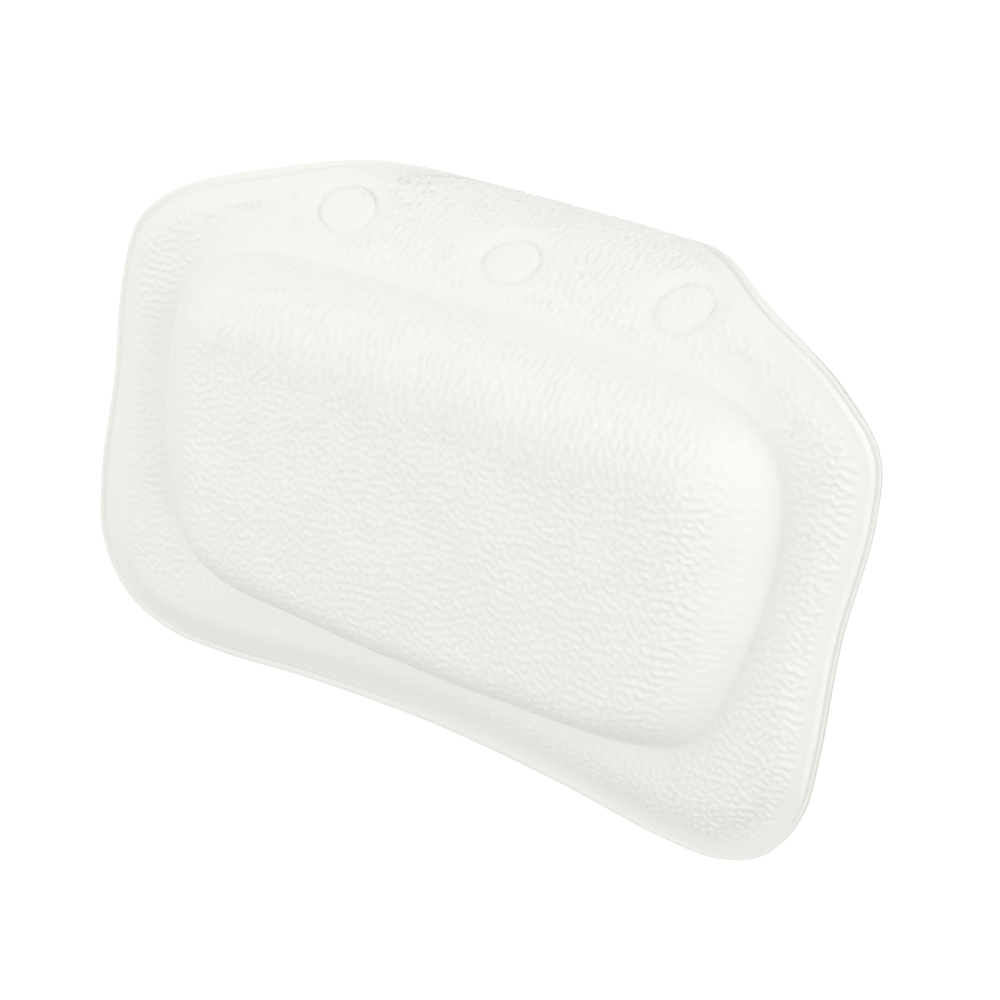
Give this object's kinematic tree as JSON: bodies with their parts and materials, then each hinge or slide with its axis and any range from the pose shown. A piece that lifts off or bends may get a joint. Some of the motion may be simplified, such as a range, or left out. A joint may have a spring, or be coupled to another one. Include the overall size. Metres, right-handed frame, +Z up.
{
  "type": "bath pillow",
  "caption": "Crowned foam head pad in a puffy welded flange that bends back over a bath's rim and is held there by suction cups.",
  "frame": {"origin": "middle of the centre suction cup's lip, where it rests on the flat rim of the bath", "axes": "+X along the bath's end rim, +Y over the rim, away from the bather, +Z up, square to the rim"},
  "size_m": [0.3296, 0.1814, 0.1644],
  "materials": {
    "front_skin": "crepe-grained foamed vinyl, off-white, soft sheen",
    "back_sheet": "smooth plain vinyl sheet, off-white",
    "foam": "open-cell cushion foam, cream",
    "cup": "soft clear vinyl, glossy"
  },
  "bodies": {
    "pillow": {"front_cover": "front_skin", "foam_layer": "foam", "pad_foam": "foam", "back_cover": "back_sheet", "cup_cushion_left": "foam", "cup_cushion_centre": "foam", "cup_cushion_right": "foam"},
    "cup_left": {"suction_cup_left": "cup"},
    "cup_centre": {"suction_cup_centre": "cup"},
    "cup_right": {"suction_cup_right": "cup"}
  },
  "joints": [
    {"name": "cup_left_spin", "type": "hinge", "parent": "pillow", "child": "cup_left", "pos_m": [-0.074, -0.00016, 0.01534], "axis": [0.1388, -0.144, 0.9798], "continuous": true},
    {"name": "cup_centre_spin", "type": "hinge", "parent": "pillow", "child": "cup_centre", "pos_m": [0, 0, 0.0121], "axis": [0, 0, 1], "continuous": true},
    {"name": "cup_right_spin", "type": "hinge", "parent": "pillow", "child": "cup_right", "pos_m": [0.074, -0.00016, 0.01534], "axis": [-0.1388, -0.144, 0.9798], "continuous": true}
  ]
}
